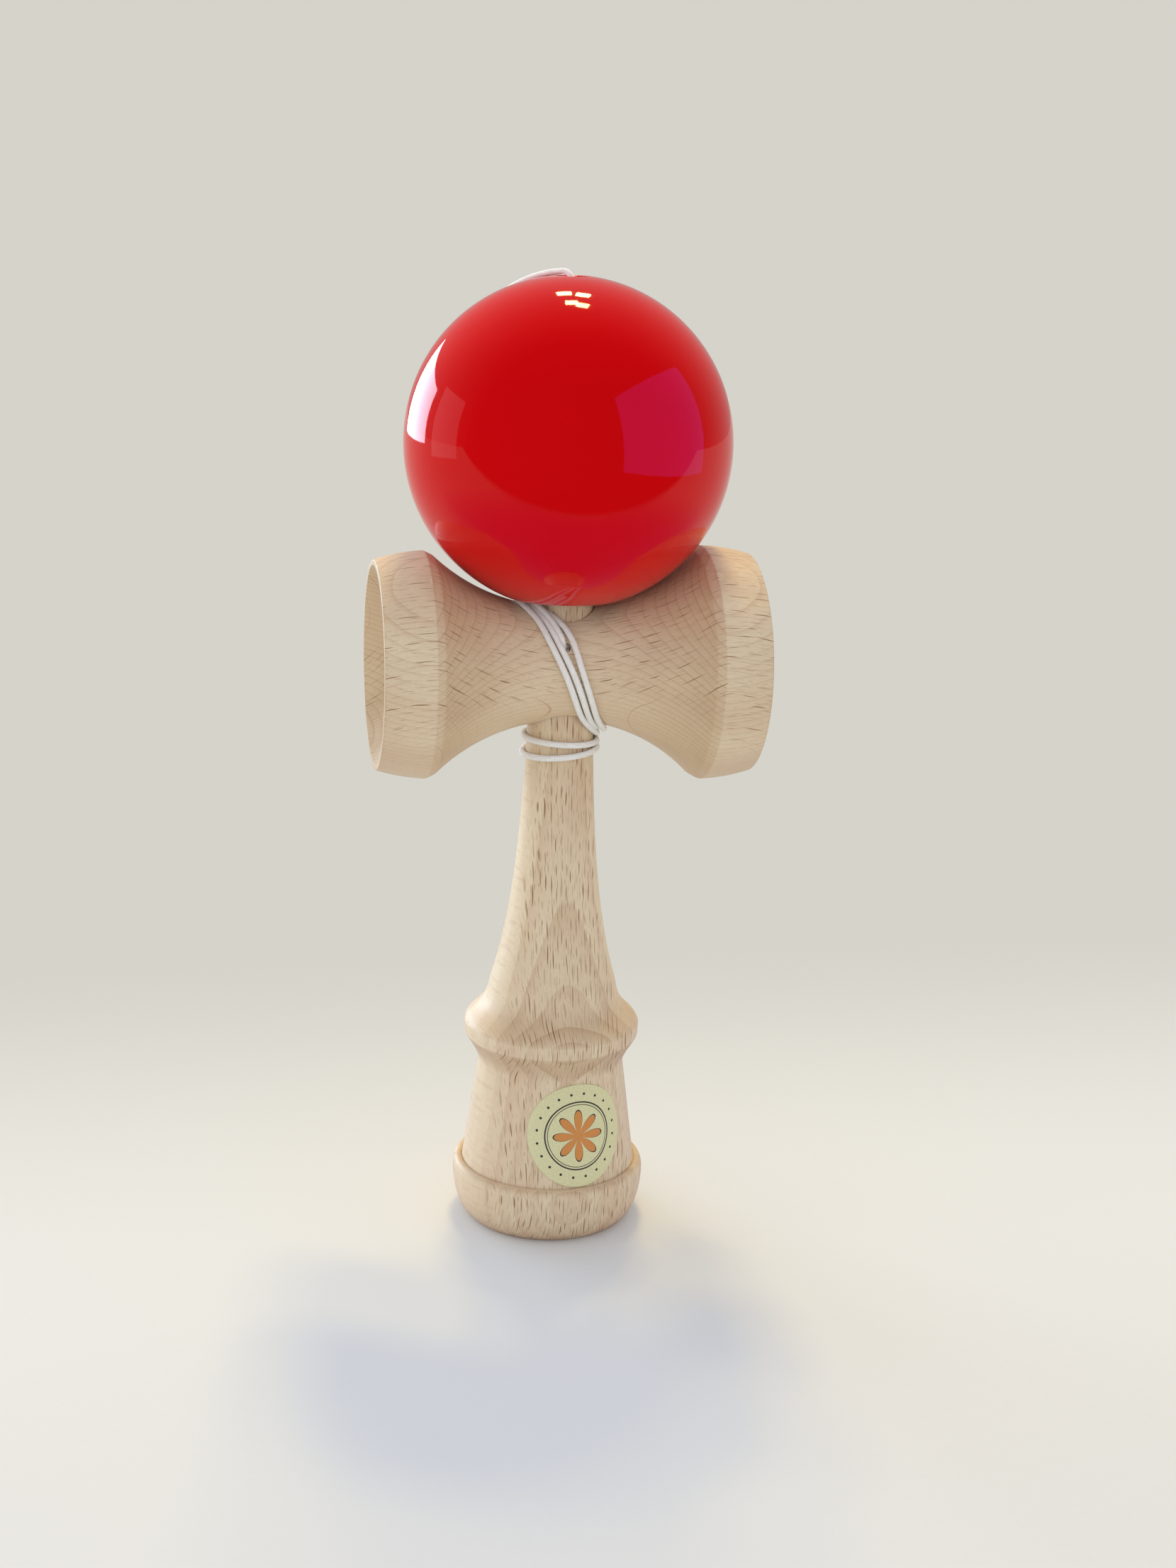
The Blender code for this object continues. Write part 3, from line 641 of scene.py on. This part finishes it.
def hole_frame():
    """The string hole's own frame: its Z points out of the hole."""
    place = Matrix.Translation((STRING_HOLE_X, 0, CROSS_HEIGHT))
    return place @ Matrix.Rotation(math.pi / 2 - STRING_HOLE_ANGLE, 4, "X")


def make_crosspiece(wood):
    profile = cup_end(*LARGE_CUP)
    reach = EDGE_X - EDGE_ROUND
    for step in range(4 * CURVE_STEPS + 1):
        x = mix(reach, -reach, step / (4 * CURVE_STEPS))
        profile.append((saddle_radius(x), x))
    profile += [(r, -x) for r, x in reversed(cup_end(*SMALL_CUP))]
    piece = lathe("turned_crosspiece", eased(profile), [wood])
    settle(piece, Matrix.Translation((0, 0, CROSS_HEIGHT)) @ Matrix.Rotation(math.pi / 2, 4, "Y"))

    span = LARGE_CUP[1]
    slope = (taper(SPIKE_ROOT) - taper(NECK_TOP)) / (SPIKE_ROOT - NECK_TOP)
    middle = taper(CROSS_HEIGHT) + BORE_PLAY
    cone = [(0.0, span), (middle + slope * span, span), (middle - slope * span, -span), (0.0, -span)]
    bore = settle(lathe("bore", cone, [wood]), Matrix.Translation((0, 0, CROSS_HEIGHT)))
    outside = WAIST_RADIUS + STRING_DIAMETER
    inside = taper(CROSS_HEIGHT) - KNOT_RADIUS
    pocket = KNOT_RADIUS + BORE_PLAY
    stepped = [(0.0, outside), (STRING_HOLE_RADIUS, outside), (STRING_HOLE_RADIUS, HOLE_FLOOR),
               (pocket, HOLE_FLOOR), (pocket, inside), (0.0, inside)]
    hole = settle(lathe("hole", stepped, [wood], steps=HOLE_STEPS), hole_frame())
    carve(piece, [bore, hole])
    return stand_for(piece, "cup_crosspiece")


def make_ball(paint, wood):
    mouth_z = -math.sqrt(BALL_RADIUS ** 2 - MOUTH_RADIUS ** 2)
    top = math.degrees(math.acos(DISH_RADIUS / BALL_RADIUS))
    bottom = -math.degrees(math.acos(MOUTH_RADIUS / BALL_RADIUS))
    chamber_top = CHAMBER_TOP - BALL_HEIGHT
    cone_top = STICK_LENGTH + BORE_PLAY - BALL_HEIGHT
    bore = MOUTH_RADIUS - MOUTH_BEVEL
    shell = arc(BALL_RADIUS, top, bottom, 7 * CURVE_STEPS)
    dish_foot = shell[0][1] - (DISH_RADIUS - CHANNEL_RADIUS)
    inner = [(bore, mouth_z + MOUTH_BEVEL), (bore, cone_top - BORE_CONE), (CHAMBER_RADIUS, cone_top),
             (CHAMBER_RADIUS, chamber_top), (CHANNEL_RADIUS, chamber_top), (CHANNEL_RADIUS, dish_foot)]
    ball = lathe("lacquered_ball", eased(shell + inner, True), [paint, wood], closed=True)
    for face in ball.data.polygons:
        centre = face.center
        inside = centre.xy.length < bore - CORNER_CUT / 2 and centre.length < BALL_RADIUS - 2 * MOUTH_BEVEL
        face.material_index = 1 if inside else 0
    settle(ball, Matrix.Translation((0, 0, BALL_HEIGHT)))
    ball.data.set_sharp_from_angle(angle=SHARP_ANGLE)
    return stand_for(ball, "ball")


def make_bead(wood):
    half = BEAD_HEIGHT / 2
    tilt = math.degrees(math.asin(half / BEAD_RADIUS))
    shell = arc(BEAD_RADIUS, tilt, -tilt, CURVE_STEPS)
    profile = shell + [(STRING_HOLE_RADIUS, -half), (STRING_HOLE_RADIUS, half)]
    bead = lathe("turned_bead", eased(profile, True), [wood], closed=True, steps=BEAD_STEPS)
    settle(bead, Matrix.Translation((0, 0, BEAD_TOP - half)))
    return stand_for(bead, "string_bead")


def make_label(print_finish):
    """A round sticker bent to the stick's body, with a mapped face, a back and a rim."""
    slope = math.atan2(BODY_FOOT_RADIUS - COVE_RADIUS, COVE_HEIGHT - RING_TOP)
    middle = (RING_TOP + COVE_HEIGHT) / 2
    reach = (COVE_HEIGHT - RING_TOP) / 2 / math.cos(slope) - LABEL_MARGIN
    flat = [(0.0, 0.0)]
    for ring in range(1, LABEL_RINGS + 1):
        share = ring / LABEL_RINGS
        turns = [math.tau * step / LABEL_STEPS for step in range(LABEL_STEPS)]
        flat += [(share * math.sin(turn), share * math.cos(turn)) for turn in turns]
    points = []
    for lift in (LABEL_THICKNESS, 0.0):
        for across, up in flat:
            z = middle + up * reach * math.cos(slope)
            radius = body_radius(z) + STRING_SIT + lift
            angle = LABEL_ANGLE + across * reach / radius
            points.append((radius * math.sin(angle), -radius * math.cos(angle), z))
    back = len(flat)
    faces = []
    for step in range(LABEL_STEPS):
        after = (step + 1) % LABEL_STEPS
        faces.append((0, 1 + after, 1 + step))
        faces.append((back, back + 1 + step, back + 1 + after))
        for ring in range(LABEL_RINGS - 1):
            inner = 1 + ring * LABEL_STEPS
            outer = inner + LABEL_STEPS
            corners = (inner + step, inner + after, outer + after, outer + step)
            faces.append(corners)
            faces.append(tuple(back + corner for corner in (corners[0], *corners[:0:-1])))
        edge = 1 + (LABEL_RINGS - 1) * LABEL_STEPS
        faces.append((edge + step, edge + after, back + edge + after, back + edge + step))
    label = add("paper_label", points, faces, [print_finish])
    chart = label.data.uv_layers.new(name="disc")
    for loop in label.data.loops:
        chart.data[loop.index].uv = flat[loop.vertex_index % back]
    label.data.set_sharp_from_angle(angle=SHARP_ANGLE)
    return stand_for(label, "label")


def smooth_path(route, step):
    """Points at even steps on a smooth curve through the route's own points."""
    padded = [2 * route[0] - route[1], *route, 2 * route[-1] - route[-2]]
    points = [route[0]]
    for a, b, c, d in zip(padded, padded[1:], padded[2:], padded[3:]):
        count = max(1, round((c - b).length / step))
        for index in range(1, count + 1):
            t = index / count
            points.append(0.5 * (2 * b + (c - a) * t + (2 * a - 5 * b + 4 * c - d) * t ** 2
                                 + (3 * b - 3 * c + d - a) * t ** 3))
    return points


def eased_point(p0, d0, p1, d1, share):
    """A point between two path ends, on a curve that leaves along d0 and arrives along d1."""
    reach = (p1 - p0).length
    t = share
    start = p0 * (2 * t ** 3 - 3 * t ** 2 + 1) + d0 * reach * (t ** 3 - 2 * t ** 2 + t)
    return start + p1 * (3 * t ** 2 - 2 * t ** 3) + d1 * reach * (t ** 3 - t ** 2)


def bridge(p0, d0, p1, d1):
    """Points between two path ends, ends left out."""
    return [eased_point(p0, d0, p1, d1, step / BEND_STEPS) for step in range(1, BEND_STEPS)]


def way(a, b):
    return (b - a).normalized()


def waist_point(x, angle, height):
    """A point over the waist: angle 0 is the front, a quarter turn the top."""
    radius = saddle_radius(x) + height
    return Vector((x, -radius * math.cos(angle), CROSS_HEIGHT + radius * math.sin(angle)))


def sweep(angle):
    """How far a turn leans along X, sharpest where it passes the stick."""
    lean = math.sin(angle)
    end = SWEEP_TOP if lean > 0 else SWEEP_UNDER
    return SWEEP_CENTRE - SWEEP_STEADY * lean - end * lean ** SWEEP_POWER


def lane_pitch(angle):
    """Distance along X between turns, wider where they run at a slant."""
    return STRING_DIAMETER + LANE_GAP + LANE_SPREAD * abs(math.cos(angle))


HOLE_TURN = STRING_HOLE_ANGLE / math.tau
HOLE_LANE = (sweep(STRING_HOLE_ANGLE) - STRING_HOLE_X + EXIT_LEAN) / lane_pitch(STRING_HOLE_ANGLE)


def waist_turn(turn):
    """The string on the waist: three lanes side by side, and the first half turn in the groove over them."""
    angle = math.tau * turn
    if turn < SETTLED_TURN:
        share = (turn - HOLE_TURN) / (SETTLED_TURN - HOLE_TURN)
        lane = mix(HOLE_LANE, SETTLED_TURN - 2, max(share, 0.0) ** LANE_POWER)
        split = 0.0
    else:
        lane = turn - 2
        offset = (angle - SPLIT_ANGLE + math.pi) % math.tau - math.pi
        split = LANE_SPLIT * math.exp(-(offset / SPLIT_WIDTH) ** 2)
        if turn > SPLIT_TURN:
            split = -split
    rise, fall = [smooth((turn - start) / (end - start)) for start, end in (LAYER_RISE, LAYER_FALL)]
    x = sweep(angle) - lane_pitch(angle) * lane + split
    return waist_point(x, angle, STRING_REST + STRING_DIAMETER * rise * (1 - fall if turn < 1 else 0.0))


def waist_stretch(first, last):
    count = round((last - first) * LOOP_STEPS)
    return [waist_turn(mix(first, last, step / count)) for step in range(count + 1)]


def neck_turn(halves):
    """The string on the neck, counted in half turns from the right side by the front to the left."""
    station = min(int(halves), len(NECK_DROPS) - 2)
    z = NECK_TOP - mix(NECK_DROPS[station], NECK_DROPS[station + 1], smooth(halves - station))
    radius = flare(z) + STRING_REST
    angle = -math.pi * halves
    return Vector((radius * math.cos(angle), radius * math.sin(angle), z))


def winding_start():
    """Out of the string hole along its upper left wall, then bent over to lie along the first turn."""
    points = [waist_point(STRING_HOLE_X, STRING_HOLE_ANGLE, HOLE_FLOOR - saddle_radius(STRING_HOLE_X))]
    turn_length = math.tau * (WAIST_RADIUS + STRING_REST)
    for step in range(BEND_STEPS):
        bend = math.pi / 2 * step / BEND_STEPS
        turn = HOLE_TURN + STRING_BEND * (1 - math.cos(bend)) / turn_length
        height = STRING_REST - STRING_BEND + STRING_BEND * math.sin(bend)
        points.append(waist_point(waist_turn(turn).x, math.tau * turn, height))
    return points, HOLE_TURN + STRING_BEND / turn_length


def slack_point():
    """Where the string hangs clear of the neck, on its way down the back."""
    z = NECK_TOP - SLACK_DROP
    radius = flare(z) + STRING_REST + SLACK_CLEARANCE
    return Vector((radius * math.cos(SLACK_ANGLE), radius * math.sin(SLACK_ANGLE), z))


def over_ball(angle):
    """A point on the string's way round the back of the ball; angle is taken from straight down."""
    reach = BALL_RADIUS + STRING_REST
    side = reach * math.sin(angle)
    return Vector((-side * math.sin(SPAN_BEARING), side * math.cos(SPAN_BEARING),
                   BALL_HEIGHT - reach * math.cos(angle)))


def span_point(share):
    """The string's way from the top of the waist to where it meets the ball."""
    step = 1 / LOOP_STEPS
    foot = waist_turn(TOP_TURN)
    head = over_ball(SPAN_TOUCH)
    return eased_point(foot, way(waist_turn(TOP_TURN - step), foot),
                       head, way(head, over_ball(SPAN_TOUCH + math.tau * step)), share)


def winding_path():
    """Out of the hole, round the waist, down the back to the neck, round it, and up the front to the top."""
    points, first = winding_start()
    points += waist_stretch(first, BACK_TURN)
    slack = slack_point()
    points += bridge(points[-1], way(points[-2], points[-1]), slack, SLACK_WAY) + [slack]
    halves = len(NECK_DROPS) - 1
    count = halves * LOOP_STEPS // 2
    neck = [neck_turn(halves * step / count) for step in range(count + 1)]
    points += bridge(slack, SLACK_WAY, neck[0], way(neck[0], neck[1])) + neck
    last = waist_stretch(FRONT_TURN, TOP_TURN)
    points += bridge(neck[-1], way(neck[-2], neck[-1]), last[0], way(last[0], last[1])) + last
    points += [span_point(SPAN_BREAK * step / BEND_STEPS) for step in range(1, BEND_STEPS + 1)]
    return smooth_path(points, STRING_STEP)


def ball_string_path():
    """From the winding up the back of the ball, over its top and down to the knot under the bead."""
    route = [span_point(mix(SPAN_BREAK, 1.0, step / BEND_STEPS)) for step in range(BEND_STEPS)]
    last = math.pi - math.asin(STRING_BEND / (BALL_RADIUS + STRING_REST))
    count = LOOP_STEPS // 2
    route += [over_ball(mix(SPAN_TOUCH, last, step / count)) for step in range(count + 1)]
    crest = route[-1]
    inward = Vector((-crest.x, -crest.y, 0.0)).normalized()
    for step in range(1, BEND_STEPS + 1):
        turn = math.pi / 2 * step / BEND_STEPS
        drop = Vector((0.0, 0.0, math.cos(turn) - 1))
        route.append(crest + STRING_BEND * (inward * math.sin(turn) + drop))
    route += [Vector((0.0, 0.0, z)) for z in (BEAD_TOP, KNOT_TOP - STRING_RADIUS)]
    return smooth_path(route, STRING_STEP)


def knot_path():
    """An overhand knot drawn tight, about the origin."""
    reach = KNOT_RADIUS - STRING_RADIUS / 2
    points = []
    for step in range(KNOT_STEPS + 1):
        t = math.tau * step / KNOT_STEPS
        across = (math.sin(t) + 2 * math.sin(2 * t)) / 3 * reach
        up = (math.cos(t) - 2 * math.cos(2 * t)) / 3 * reach
        points.append(Vector((across, up, -math.sin(3 * t) * (KNOT_LENGTH - STRING_RADIUS) / 2)))
    return smooth_path(points, STRING_STEP)


def braid(along, turn):
    """Height of the braid's strands, 0 to 1: two sets of helices that cross."""
    helix = math.tau * along / BRAID_PITCH
    return 0.5 + 0.5 * math.cos(BRAID_STRANDS * turn + helix) * math.cos(BRAID_STRANDS * turn - helix)


def make_cord(name, path, thickness, finish):
    """A braided cord along a path, with closed ends and a map along and round it."""
    sides = STRING_SIDES
    points = []
    chart = []
    run = 0.0
    side = (path[1] - path[0]).orthogonal().normalized()
    for index, point in enumerate(path):
        ahead = path[min(index + 1, len(path) - 1)] - path[max(index - 1, 0)]
        side = (side - ahead * side.dot(ahead) / ahead.length_squared).normalized()
        other = ahead.normalized().cross(side)
        if index:
            run += (point - path[index - 1]).length
        for step in range(sides):
            turn = math.tau * step / sides
            radius = thickness / 2 * (1 - BRAID_DEPTH + BRAID_DEPTH * braid(run, turn))
            points.append(point + radius * (side * math.cos(turn) + other * math.sin(turn)))
            chart.append((run * MM_PER_METRE, step / sides))
    faces = [tuple(range(sides))[::-1], tuple(range(len(points) - sides, len(points)))]
    for ring in range(len(path) - 1):
        for step in range(sides):
            after = (step + 1) % sides
            low = ring * sides
            high = low + sides
            faces.append((low + step, low + after, high + after, high + step))
    cord = add(name, points, faces, [finish])
    layer = cord.data.uv_layers.new(name="length")
    for face in cord.data.polygons:
        for corner in face.loop_indices:
            vertex = cord.data.loops[corner].vertex_index
            seam = vertex % sides == 0 and face.index > 1 and (face.index - 1) % sides == 0
            layer.data[corner].uv = (chart[vertex][0], 1.0) if seam else chart[vertex]
    return cord


def make_strings(finish):
    knot_in_hole = make_cord("hole_knot", knot_path(), KNOT_STRAND, finish)
    sink = HOLE_FLOOR - KNOT_LENGTH / 2 - STRING_SIT
    settle(knot_in_hole, hole_frame() @ Matrix.Translation((0, 0, sink)))
    stand_for(knot_in_hole, "crosspiece_knot")
    knot_in_ball = make_cord("ball_knot", knot_path(), KNOT_STRAND, finish)
    settle(knot_in_ball, Matrix.Translation((0, 0, KNOT_TOP - KNOT_LENGTH / 2)))
    stand_for(knot_in_ball, "bead_knot")

    path = winding_path()
    winding = make_cord("wound_string", path, STRING_DIAMETER, finish)
    stand_for(winding, "string_winding")

    path = ball_string_path()
    span = make_cord("ball_string", path, STRING_DIAMETER, finish)
    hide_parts("string_to_ball")
    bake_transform(span)


def lamp(name, azimuth, elevation, reach, size, watts, colour, shine_on=None, mirrored=True):
    """A soft lamp facing the ball, placed by its bearing from the back towards +X and its height over level.

    One that is made for a shine alone lights nothing else, and a fill light isn't mirrored in anything."""
    side = math.radians(azimuth)
    up = math.radians(elevation)
    out = Vector((math.sin(side) * math.cos(up), math.cos(side) * math.cos(up), math.sin(up)))
    light = bpy.data.lights.new(name, "AREA")
    light.shape = "RECTANGLE"
    light.size, light.size_y = size
    light.energy = watts
    light.color = colour
    holder = bpy.data.objects.new(name, light)
    holder.location = Vector((0.0, 0.0, BALL_HEIGHT)) + out * reach
    holder.rotation_euler = out.to_track_quat("Z", "Y").to_euler()
    holder.visible_camera = False
    holder.visible_glossy = mirrored
    if shine_on:
        holder.visible_diffuse = False
        holder.light_linking.receiver_collection = shine_on
    bpy.context.scene.collection.objects.link(holder)


def make_lamps(ball):
    glossy = bpy.data.collections.new("glossy")
    glossy.objects.link(ball)
    lamp("window", -35.5, 5.5, reach=2.0, size=(1.26, 0.80), watts=31.0, colour=(0.66, 0.81, 1.0))
    for order, (azimuth, elevation) in enumerate(WARM_LAMPS):
        lamp("warm_lamp_%d" % order, azimuth, elevation,
             reach=0.62, size=(0.052, 0.052), watts=0.52, colour=(1.0, 0.79, 0.30))
    lamp("side_fill", -78.0, 8.0, reach=1.2, size=(0.80, 0.80), watts=2.4, colour=(0.80, 0.92, 1.0),
         mirrored=False)
    lamp("panel", 120.0, 5.0, reach=0.6, size=(0.80, 0.86), watts=2.9, colour=(0.26, 0.13, 1.0),
         shine_on=glossy)
    lamp("strip", -75.0, -2.0, reach=1.0, size=(0.45, 0.86), watts=1.0, colour=(1.0, 0.85, 0.90),
         shine_on=glossy)


def make_world():
    """Pale all round, and dark towards the front for what shines."""
    g = Graph(bpy.data.worlds.new("studio"), "Background")
    ray = g.node("ShaderNodeLightPath", {})
    _, depth, height = g.split(g.place("Generated"))
    colour = g.mix(g.ease(height, 0.1, 0.9), (1.05, 1.07, 1.13, 1.0), (0.65, 0.69, 0.78, 1.0))
    shine = g.mix(g.ease(depth, -0.3, 0.8), (0.05, 0.05, 0.06, 1.0), (0.45, 0.44, 0.42, 1.0))
    colour = g.mix(ray["Is Glossy Ray"], colour, shine)
    bpy.context.scene.world = g.finish(Color=g.mix(ray["Is Camera Ray"], colour, WALL_COLOUR))


def make_floor():
    """A pale floor that runs out into the backdrop's own colour, and ends near the front for what shines."""
    g = Graph(bpy.data.materials.new("pale_floor"))
    ray = g.node("ShaderNodeLightPath", {})
    where = g.place()
    grain = g.noise(where, 900.0, 3.0)[0]
    colour = g.mix(grain, (0.72, 0.71, 0.69, 1.0), (0.74, 0.73, 0.71, 1.0))
    # Painted reflection: glossy rays see the floor darker and violet, not in its own colour.
    colour = g.mix(ray["Is Glossy Ray"], colour, (0.22, 0.13, 0.40, 1.0))
    _, depth, _ = g.split(where)
    far = g.math("MAXIMUM", g.ease(depth, -0.04, 0.16), g.ease(g.length(where), 0.12, 0.40))
    # Painted reflection: beyond the front, glossy rays see the floor as a near-black glow.
    edge = g.math("MULTIPLY", ray["Is Glossy Ray"], g.ease(depth, -0.20, -0.15, 1.0, 0.0))
    gone = g.math("MAXIMUM", far, edge)
    glow = g.mix(edge, WALL_COLOUR, (0.06, 0.06, 0.07, 1.0))
    finish = g.finish(Base_Color=g.mix(gone, colour, BLACK), Roughness=0.6, Specular_IOR_Level=0.0,
                      Emission_Color=glow, Emission_Strength=gone, Normal=g.bump(grain, 0.02, 0.0002))
    steps = 128
    turns = [math.tau * step / steps for step in range(steps)]
    ring = [(FLOOR_RADIUS * math.cos(turn), FLOOR_RADIUS * math.sin(turn), 0.0) for turn in turns]
    add("floor", ring, [tuple(range(steps))], [finish])


def make_camera():
    data = bpy.data.cameras.new("camera")
    data.sensor_width = SENSOR_MM
    data.lens = SENSOR_MM * FOCAL_PX / IMAGE_HEIGHT_PX
    data.clip_start = CLIP_START
    heading = CAMERA_YAW + CAMERA_PAN
    level = math.cos(CAMERA_PITCH)
    forward = Vector((math.sin(heading) * level, math.cos(heading) * level, -math.sin(CAMERA_PITCH)))
    right = Vector((math.cos(heading), -math.sin(heading), 0.0))
    up = right.cross(forward)
    across = right * math.cos(CAMERA_ROLL) + up * math.sin(CAMERA_ROLL)
    above = up * math.cos(CAMERA_ROLL) - right * math.sin(CAMERA_ROLL)
    camera = bpy.data.objects.new("camera", data)
    camera.matrix_world = Matrix((across, above, -forward)).transposed().to_4x4()
    x = -CAMERA_REACH * math.sin(CAMERA_YAW)
    y = -CAMERA_REACH * math.cos(CAMERA_YAW)
    camera.location = (x, y, CAMERA_HEIGHT)
    bpy.context.scene.collection.objects.link(camera)
    bpy.context.scene.camera = camera


def main():
    bpy.context.scene.view_settings.view_transform = "Standard"
    make_camera()
    bore_wood = bare_bore()
    bead = make_bead(bore_wood)
    make_strings(cord_fibre())
    stick_wood = beech("beech_stick", order=(0, 1, 2), pith=(4.0, -62.0),
                       ring_start=45.84, ring_width=2.05, ring_growth=0.18, ring_depth=0.65, late_share=0.75,
                       ray_width=0.165, line_depth=0.20, flake_depth=1.0)
    make_stick(stick_wood)
    cross_wood = beech("beech_crosspiece", order=(1, 2, 0), pith=(40.0, 53.0),
                       ring_start=0.0, ring_width=1.0, ring_growth=0.0005, ring_depth=0.65, late_share=0.35,
                       ray_width=0.075, line_depth=0.70, flake_depth=0.0)
    make_crosspiece(cross_wood)
    ball = make_ball(lacquer(), bore_wood)
    make_label(label_print())
    make_lamps(ball)
    make_world()
    make_floor()


main()
